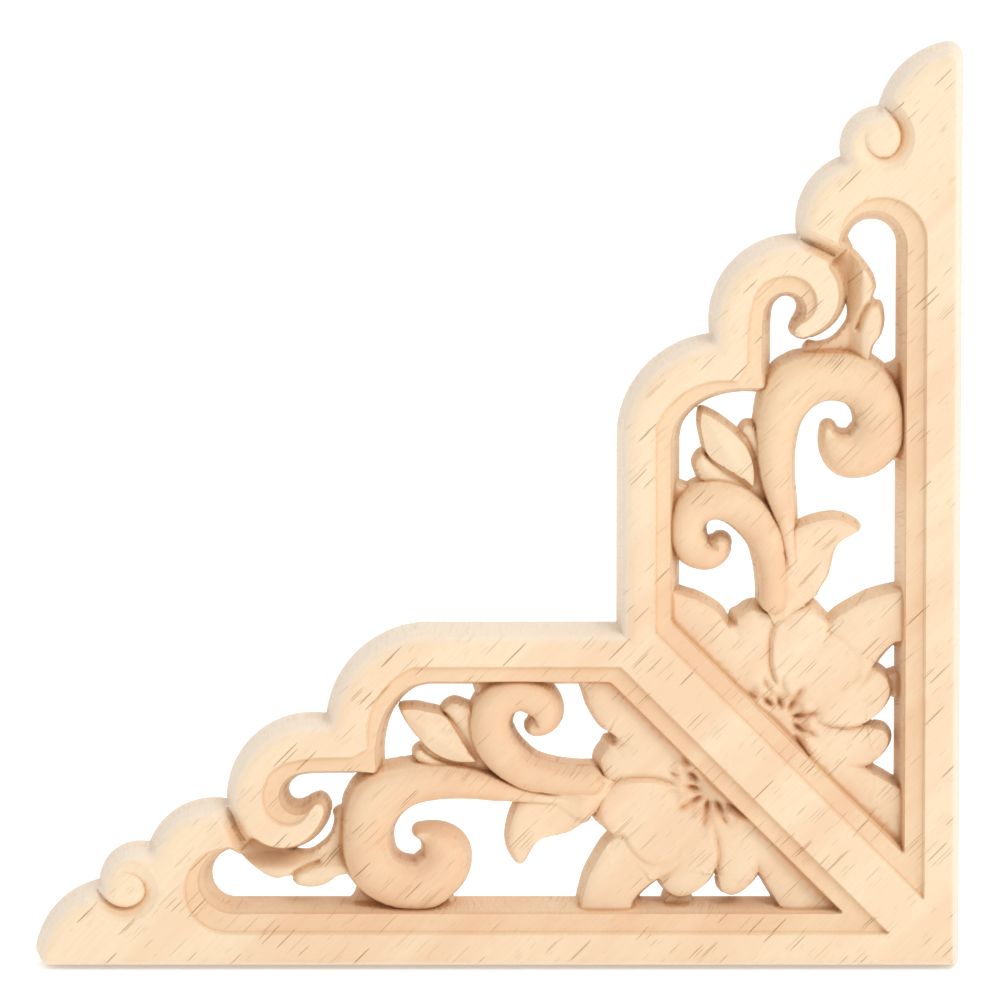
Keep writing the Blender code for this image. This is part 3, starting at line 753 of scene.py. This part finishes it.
def shades(grid, ends, heights):
    """How deep each spot lies below the carving around it, over a wide patch and over a narrow one, for the
    painted shade.
    """
    grid = np.maximum(grid, 0.0)
    square = min(grid.shape)
    lower = np.tril(grid[:square, :square])
    grid[:square, :square] = lower + np.tril(lower, -1).T
    grid = np.where(grid > 0, grid, VOID_LEVEL)
    wide, narrow = (sampled(blurred(grid, reach), ends) - heights for reach in (HOLLOW_REACH, LINE_REACH))
    return wide, np.where(heights > VOID_LEVEL, narrow, 0.0)


def arm_triangles():
    """Spots and triangles of one arm, with edges along every arris, crease and outline."""
    nodes, height, kind = scan()
    seams, lines = seams_of(nodes, kind)
    places = np.vstack([seams, free_nodes(nodes, height, kind, seams)])
    made = delaunay_2d_cdt([Vector(p) for p in places], lines, [], 0, 0.02)
    ends = np.array([tuple(v) for v in made[0]])
    corners = np.array(made[2])
    corners = corners[relief(ends[corners].mean(axis=1))[1] >= 0]
    on_diagonal = np.abs(ends[:, 0] - ends[:, 1]) < 0.1 * GRID
    ends[on_diagonal] = ends[on_diagonal].mean(axis=1)[:, None]
    corners = corners[~on_diagonal[corners].all(axis=1)]
    heights = np.maximum(relief(ends)[0], 0.0)
    hollow, line = shades(height, ends, heights)
    while True:
        rim = rim_of(corners, on_diagonal)
        on_rim = np.zeros(len(ends), bool)
        on_rim[rim] = True
        slivers = on_rim[corners].all(axis=1)
        if not slivers.any():
            break
        corners = corners[~slivers]
    heights[rim] = 0.0
    return ends, heights, hollow, line, corners, back_triangles(ends, rim, on_diagonal)


def sides_of(corners):
    """The three sides of each triangle: all first sides, then all second, then all third."""
    return np.sort(np.concatenate([corners[:, [0, 1]], corners[:, [1, 2]], corners[:, [2, 0]]]), axis=1)


def rim_of(corners, on_diagonal):
    """The edges that only one triangle uses, apart from those on the diagonal."""
    sides, uses = np.unique(sides_of(corners), axis=0, return_counts=True)
    return sides[(uses == 1) & ~on_diagonal[sides].all(axis=1)]


def back_triangles(ends, rim, on_diagonal):
    """The flat back of one arm, cut into triangles from its rim alone."""
    used = np.unique(rim)
    rank = np.full(len(ends), -1)
    rank[used] = np.arange(len(used))
    seam = used[on_diagonal[used]]
    lines = [tuple(pair) for pair in rank[rim]] + [tuple(rank[seam])]
    made = delaunay_2d_cdt([Vector(ends[i]) for i in used], lines, [], 0, 0.0)
    corners = np.array(made[2])
    middles = np.array([tuple(v) for v in made[0]])[corners].mean(axis=1)
    edges = np.vstack([rim, seam])
    corners = corners[within(middles, ends[edges[:, 0]], ends[edges[:, 1]])]
    first = np.array([given[0] for given in made[3]])
    return used[first[corners]]


def blurred(grid, reach):
    """A grid of values averaged over a round patch of that reach in millimetres."""
    steps = int(round(3 * reach / GRID))
    weights = np.exp(-0.5 * (np.arange(-steps, steps + 1) * GRID / reach) ** 2)
    weights /= weights.sum()
    for axis in (0, 1):
        grid = sum(w * np.roll(grid, k, axis=axis) for w, k in zip(weights, range(-steps, steps + 1)))
    return grid


def sampled(grid, spots):
    """A grid's value at each spot, from its four nearest nodes."""
    n, m = grid.shape
    u = np.clip((spots[:, 0] + MARGIN) / GRID, 0, n - 1.001)
    v = np.clip((spots[:, 1] + MARGIN) / GRID, 0, m - 1.001)
    i, j = u.astype(int), v.astype(int)
    s, t = u - i, v - j
    return ((grid[i, j] * (1 - s) + grid[i + 1, j] * s) * (1 - t)
            + (grid[i, j + 1] * (1 - s) + grid[i + 1, j + 1] * s) * t)


def carving():
    """The whole onlay: both arms, closed by a flat back."""
    spots, heights, hollow, line, corners, back = arm_triangles()
    bm = bmesh.new()
    # Values that the wood paints shade and sheen from: how far each spot lies below the carving around it,
    # over a wide and a narrow patch, and how near it is to the outer edge
    shade = bm.verts.layers.float.new("hollow")
    line_shade = bm.verts.layers.float.new("crease_line")
    edge_shade = bm.verts.layers.float.new("outer_edge")
    from_edge = np.clip(EDGE_SHADE[0] - depth_in(spots, outer_edge()) / EDGE_SHADE[1], 0, 1)
    verts = []
    used = set(corners.ravel().tolist())
    for i, ((along, inward), height, deep) in enumerate(zip(spots, heights, hollow)):
        if i not in used:
            verts.append(None)
            continue
        vert = bm.verts.new(((BAR / 2 - inward) * MM, -height * MM, (along - BAR / 2) * MM))
        vert[shade] = deep
        vert[line_shade] = line[i]
        vert[edge_shade] = from_edge[i]
        verts.append(vert)
    for corner in corners:
        bm.faces.new([verts[i] for i in corner])
    for corner in back:
        bm.faces.new([verts[i] for i in reversed(corner)])
    copy = bmesh.ops.duplicate(bm, geom=bm.verts[:] + bm.edges[:] + bm.faces[:])["geom"]
    copied = [part for part in copy if isinstance(part, bmesh.types.BMVert)]
    bmesh.ops.transform(bm, matrix=Matrix.Scale(-1, 4, Vector((1, 0, 1)).normalized()), verts=copied)
    bmesh.ops.reverse_faces(bm, faces=[part for part in copy if isinstance(part, bmesh.types.BMFace)])
    joint = [vert for vert in bm.verts if abs(vert.co.x + vert.co.z) < WELD / 2 * MM]
    bmesh.ops.remove_doubles(bm, verts=joint, dist=WELD * MM)
    bmesh.ops.recalc_face_normals(bm, faces=bm.faces)
    for face in bm.faces:
        face.smooth = True
    mesh = bpy.data.meshes.new("onlay_carving")
    bm.to_mesh(mesh)
    bm.free()
    mesh.set_sharp_from_angle(angle=math.radians(SHARP))
    piece = bpy.data.objects.new("onlay_carving", mesh)
    bpy.context.scene.collection.objects.link(piece)
    return piece


class Bench:
    """A short way to put shader nodes together."""

    def __init__(self, name):
        self.material = bpy.data.materials.new(name)
        self.material.use_nodes = True
        self.tree = self.material.node_tree
        self.shader = self.tree.nodes["Principled BSDF"]

    def plug(self, value, socket):
        """Join a socket to another one, or set it to a value."""
        if isinstance(value, bpy.types.NodeSocket):
            self.tree.links.new(value, socket)
        else:
            socket.default_value = value

    def node(self, kind, **settings):
        """A new node with these settings."""
        made = self.tree.nodes.new(kind)
        for name, value in settings.items():
            setattr(made, name, value)
        return made

    def math(self, operation, *values, clamp=False):
        """One sum on values or sockets."""
        made = self.node("ShaderNodeMath", operation=operation, use_clamp=clamp)
        for value, socket in zip(values, made.inputs):
            self.plug(value, socket)
        return made.outputs[0]

    def band(self, value, low, high, start=0.0, end=1.0, soft=True):
        """A value taken from the range low to high over to the range start to end, and held beyond it."""
        made = self.node("ShaderNodeMapRange", interpolation_type="SMOOTHSTEP" if soft else "LINEAR")
        for given, socket in zip((value, low, high, start, end), made.inputs):
            self.plug(given, socket)
        return made.outputs[0]

    def mix(self, factor, first, second, blend="MIX"):
        """A colour between two, or the first one blended with the second."""
        made = self.node("ShaderNodeMix", data_type="RGBA", blend_type=blend)
        self.plug(factor, made.inputs["Factor"])
        self.plug(first, made.inputs[6])
        self.plug(second, made.inputs[7])
        return made.outputs[2]

    def placed(self, vector, turn=(0.0, 0.0, 0.0), scale=(1.0, 1.0, 1.0)):
        """A place turned, in degrees, and scaled."""
        made = self.node("ShaderNodeMapping")
        self.plug(vector, made.inputs["Vector"])
        made.inputs["Rotation"].default_value = [math.radians(t) for t in turn]
        made.inputs["Scale"].default_value = scale
        return made.outputs[0]

    def noise(self, vector, detail=3.0, rough=0.5, twist=0.0):
        """A cloudy pattern, one unit wide."""
        made = self.node("ShaderNodeTexNoise")
        self.plug(vector, made.inputs["Vector"])
        made.inputs["Scale"].default_value = 1.0
        made.inputs["Detail"].default_value = detail
        made.inputs["Roughness"].default_value = rough
        made.inputs["Distortion"].default_value = twist
        return made.outputs["Fac"]

    def pores(self, vector, share, size):
        """Open pores: slim spots in some of the cells of a stretched pattern, each of its own strength."""
        cells = self.node("ShaderNodeTexVoronoi", feature="F1")
        self.plug(vector, cells.inputs["Vector"])
        cells.inputs["Scale"].default_value = 1.0
        chance = self.node("ShaderNodeSeparateColor")
        self.plug(cells.outputs["Color"], chance.inputs[0])
        width = self.band(chance.outputs[0], share, 1.0, 0.0, size, soft=False)
        spot = self.math("DIVIDE", self.math("SUBTRACT", width, cells.outputs["Distance"]), 0.06, clamp=True)
        return self.math("MULTIPLY", spot, self.band(chance.outputs[1], 0.0, 1.0, 0.25, 1.0, soft=False))

    def bumped(self, height, distance, strength, under=None):
        """A surface direction that lets a pattern stand up from the face."""
        made = self.node("ShaderNodeBump")
        made.inputs["Strength"].default_value = strength
        made.inputs["Distance"].default_value = distance
        self.plug(height, made.inputs["Height"])
        if under is not None:
            self.plug(under, made.inputs["Normal"])
        return made.outputs[0]


def pale_wood():
    """Light hardwood: boards laid along the rising diagonal and open pores, with painted tan shade on the
    walls, in hollows and creases and on the sunken ledge, and a painted pale sheen on the outer arris.
    """
    bench = Bench("pale_hardwood")
    spot = bench.node("ShaderNodeTexCoord").outputs["Object"]
    grain = bench.placed(spot, turn=(0, GRAIN_TURN, 0), scale=(1000, 1000, 1000))
    along_grain = bench.node("ShaderNodeSeparateXYZ")
    bench.plug(grain, along_grain.inputs[0])
    u, _, v = along_grain.outputs

    figure = bench.noise(bench.placed(grain, scale=(0.012, 0.05, 0.09)), rough=0.55, twist=0.4)
    board_edge = bench.math("ADD", v, bench.math("MULTIPLY", u, -0.04))
    tip_board = bench.math("MULTIPLY", bench.band(board_edge, *BOARD_JOINT), -0.45)
    tone = bench.math("ADD", bench.band(figure, 0.36, 0.66), tip_board, clamp=True)
    colour = bench.mix(tone, CREAM, PEACH)
    fibre = bench.noise(bench.placed(grain, scale=(0.12, 2.2, 2.6)), detail=4.0, rough=0.6)
    colour = bench.mix(bench.band(fibre, 0.35, 0.75, 0.0, 0.30), colour, FIBRE)

    coarse = bench.pores(bench.placed(grain, scale=(0.13, 0.1, 3.5), turn=(0, 1.0, 0)), 0.60, 0.42)
    fine = bench.pores(bench.placed(grain, scale=(0.34, 0.3, 5.5), turn=(0, -1.5, 0)), 0.62, 0.36)
    pore = bench.math("ADD", coarse, bench.math("MULTIPLY", fine, 0.35), clamp=True)
    hollow = bench.node("ShaderNodeAttribute", attribute_name="hollow").outputs["Fac"]
    rim = bench.node("ShaderNodeAttribute", attribute_name="outer_edge").outputs["Fac"]
    inside = bench.math("SUBTRACT", 1.0, rim)
    facing = bench.node("ShaderNodeSeparateXYZ")
    bench.plug(bench.node("ShaderNodeNewGeometry").outputs["Normal"], facing.inputs[0])
    level = bench.math("ABSOLUTE", facing.outputs[1])
    steep = bench.band(level, 0.8, 0.15)
    pore = bench.math("MULTIPLY", pore, bench.band(steep, 0.0, 1.0, 1.0, 0.45))
    colour = bench.mix(bench.math("MULTIPLY", pore, 0.85), colour, PORE)

    fuzz = bench.noise(bench.placed(spot, scale=(1500, 120, 1500)), rough=0.7)
    # Painted shade on the openings' steep inner walls, kept off the outer edge and broken up by the fuzz of
    # the cut fibres
    wall_shade = bench.math("MULTIPLY", steep, inside)
    wall_shade = bench.math("MULTIPLY", wall_shade, bench.band(fuzz, 0.3, 0.7, 0.4, 0.9))
    colour = bench.mix(wall_shade, colour, WALL_SHADE, "MULTIPLY")
    # Painted shade in hollows and creases: stronger the deeper a spot lies below the carving around it,
    # weaker on steep walls, none on faces turned to the back
    crease = bench.band(hollow, 0.3, 3.4, 0.0, 0.9)
    crease = bench.math("MULTIPLY", crease, bench.band(steep, 0.0, 1.0, 1.0, 0.1))
    crease = bench.math("MULTIPLY", crease, bench.band(facing.outputs[1], 0.3, 0.6, 1.0, 0.0))
    colour = bench.mix(crease, colour, CREASE_SHADE, "MULTIPLY")
    # Painted shade on the sunken ledge, chosen by height and kept off the outer edge
    place = bench.node("ShaderNodeSeparateXYZ")
    bench.plug(spot, place.inputs[0])
    low, full, fading, gone = (-height * MM for height in SUNK_SHADE_HEIGHTS)
    sunk = bench.band(place.outputs[1], full, low, 1.0, 0.0)
    sunk = bench.math("MULTIPLY", sunk, bench.band(place.outputs[1], gone, fading, 0.0, 1.0))
    colour = bench.mix(bench.math("MULTIPLY", sunk, inside), colour, SUNK_SHADE, "MULTIPLY")
    # Painted shade: fine dark lines in the floors of creases
    line = bench.node("ShaderNodeAttribute", attribute_name="crease_line").outputs["Fac"]
    colour = bench.mix(bench.band(line, 0.05, 0.45, 0.0, 0.65), colour, CREASE_LINE_SHADE, "MULTIPLY")
    # Painted pale sheen on the outer arris where it rolls away from the camera, standing in for light from
    # the white room
    edge_sheen = bench.math("MULTIPLY", rim, bench.band(level, 1.0, 0.75, 0.0, 0.8))
    colour = bench.mix(edge_sheen, colour, EDGE_SHEEN)
    bench.plug(colour, bench.shader.inputs["Base Color"])
    bench.shader.inputs["Roughness"].default_value = 0.6
    bench.shader.inputs["Specular IOR Level"].default_value = 0.3

    bump = bench.bumped(bench.math("MULTIPLY", pore, -1.0), 0.00015, 0.6)
    bump = bench.bumped(fibre, 0.00006, 0.5, under=bump)
    bump = bench.bumped(bench.math("MULTIPLY", fuzz, steep), 0.0004, 0.7, under=bump)
    bench.plug(bump, bench.shader.inputs["Normal"])
    return bench.material


def plain(name, colour, roughness, glow):
    """A flat colour that glows a little."""
    material = bpy.data.materials.new(name)
    material.use_nodes = True
    shader = material.node_tree.nodes["Principled BSDF"]
    shader.inputs["Base Color"].default_value = colour
    shader.inputs["Roughness"].default_value = roughness
    shader.inputs["Specular IOR Level"].default_value = 0.1
    shader.inputs["Emission Color"].default_value = colour
    shader.inputs["Emission Strength"].default_value = glow
    return material


def floor():
    """A plain white floor that the onlay stands on."""
    bm = bmesh.new()
    bmesh.ops.create_grid(bm, x_segments=1, y_segments=1, size=FLOOR_SIZE / 2)
    bmesh.ops.translate(bm, vec=(0.0, 0.0, -BAR / 2 * MM), verts=bm.verts)
    mesh = bpy.data.meshes.new("floor")
    bm.to_mesh(mesh)
    bm.free()
    mesh.materials.append(plain("white_floor", FLOOR_WHITE, 0.9, FLOOR_GLOW))
    made = bpy.data.objects.new("floor", mesh)
    bpy.context.scene.collection.objects.link(made)
    return made


def soft_light(name, place, target, width, power):
    """A round lamp that is aimed at a place."""
    light = bpy.data.lights.new(name, "AREA")
    light.shape = "DISK"
    light.size = width
    light.energy = power
    lamp = bpy.data.objects.new(name, light)
    bpy.context.scene.collection.objects.link(lamp)
    lamp.location = place
    lamp.rotation_euler = (Vector(target) - Vector(place)).to_track_quat("-Z", "Y").to_euler()


def studio():
    """A white room, brighter behind and to the right, and one soft lamp from the upper right."""
    world = bpy.data.worlds.new("white_room")
    world.use_nodes = True
    nodes, links = world.node_tree.nodes, world.node_tree.links
    way = nodes.new("ShaderNodeTexCoord")
    side = nodes.new("ShaderNodeVectorMath")
    side.operation = "DOT_PRODUCT"
    links.new(way.outputs["Generated"], side.inputs[0])
    side.inputs[1].default_value = LIGHT_AXIS
    fall = nodes.new("ShaderNodeMapRange")
    links.new(side.outputs["Value"], fall.inputs["Value"])
    values = (*LIGHT_RANGE, FRONT_LIGHT, BACK_LIGHT)
    for name, value in zip(("From Min", "From Max", "To Min", "To Max"), values):
        fall.inputs[name].default_value = value
    back = nodes["Background"]
    back.inputs["Color"].default_value = (1.0, 1.0, 1.0, 1.0)
    links.new(fall.outputs["Result"], back.inputs["Strength"])
    bpy.context.scene.world = world
    soft_light("key", KEY_PLACE, KEY_AIM, KEY_WIDTH, KEY_LIGHT)
    settings = bpy.context.scene.view_settings
    settings.view_transform = "Standard"
    settings.look = "None"


def camera():
    """Square on to the carved face and a little above it, far off on a long lens."""
    data = bpy.data.cameras.new("camera")
    data.sensor_width = CAMERA_SENSOR
    data.lens = CAMERA_LENS
    eye = bpy.data.objects.new("camera", data)
    bpy.context.scene.collection.objects.link(eye)
    far = FRAME_WIDTH * data.lens / data.sensor_width
    tilt = math.radians(CAMERA_TILT)
    eye.location = Vector(AIM) + Vector((0.0, -math.cos(tilt), math.sin(tilt))) * far
    eye.rotation_euler = (math.radians(90 - CAMERA_TILT), 0.0, 0.0)
    data.clip_start, data.clip_end = CAMERA_CLIP
    bpy.context.scene.camera = eye


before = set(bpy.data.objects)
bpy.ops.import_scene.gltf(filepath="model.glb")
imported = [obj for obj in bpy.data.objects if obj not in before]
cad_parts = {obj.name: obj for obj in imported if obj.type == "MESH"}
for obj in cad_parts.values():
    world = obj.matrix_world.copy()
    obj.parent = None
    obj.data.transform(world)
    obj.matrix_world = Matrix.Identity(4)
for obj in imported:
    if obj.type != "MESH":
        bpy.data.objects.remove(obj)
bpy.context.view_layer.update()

camera()
studio()
stage_floor = floor()

onlay = carving()
onlay.data.materials.append(pale_wood())
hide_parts("corner_onlay")
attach(onlay, "root")
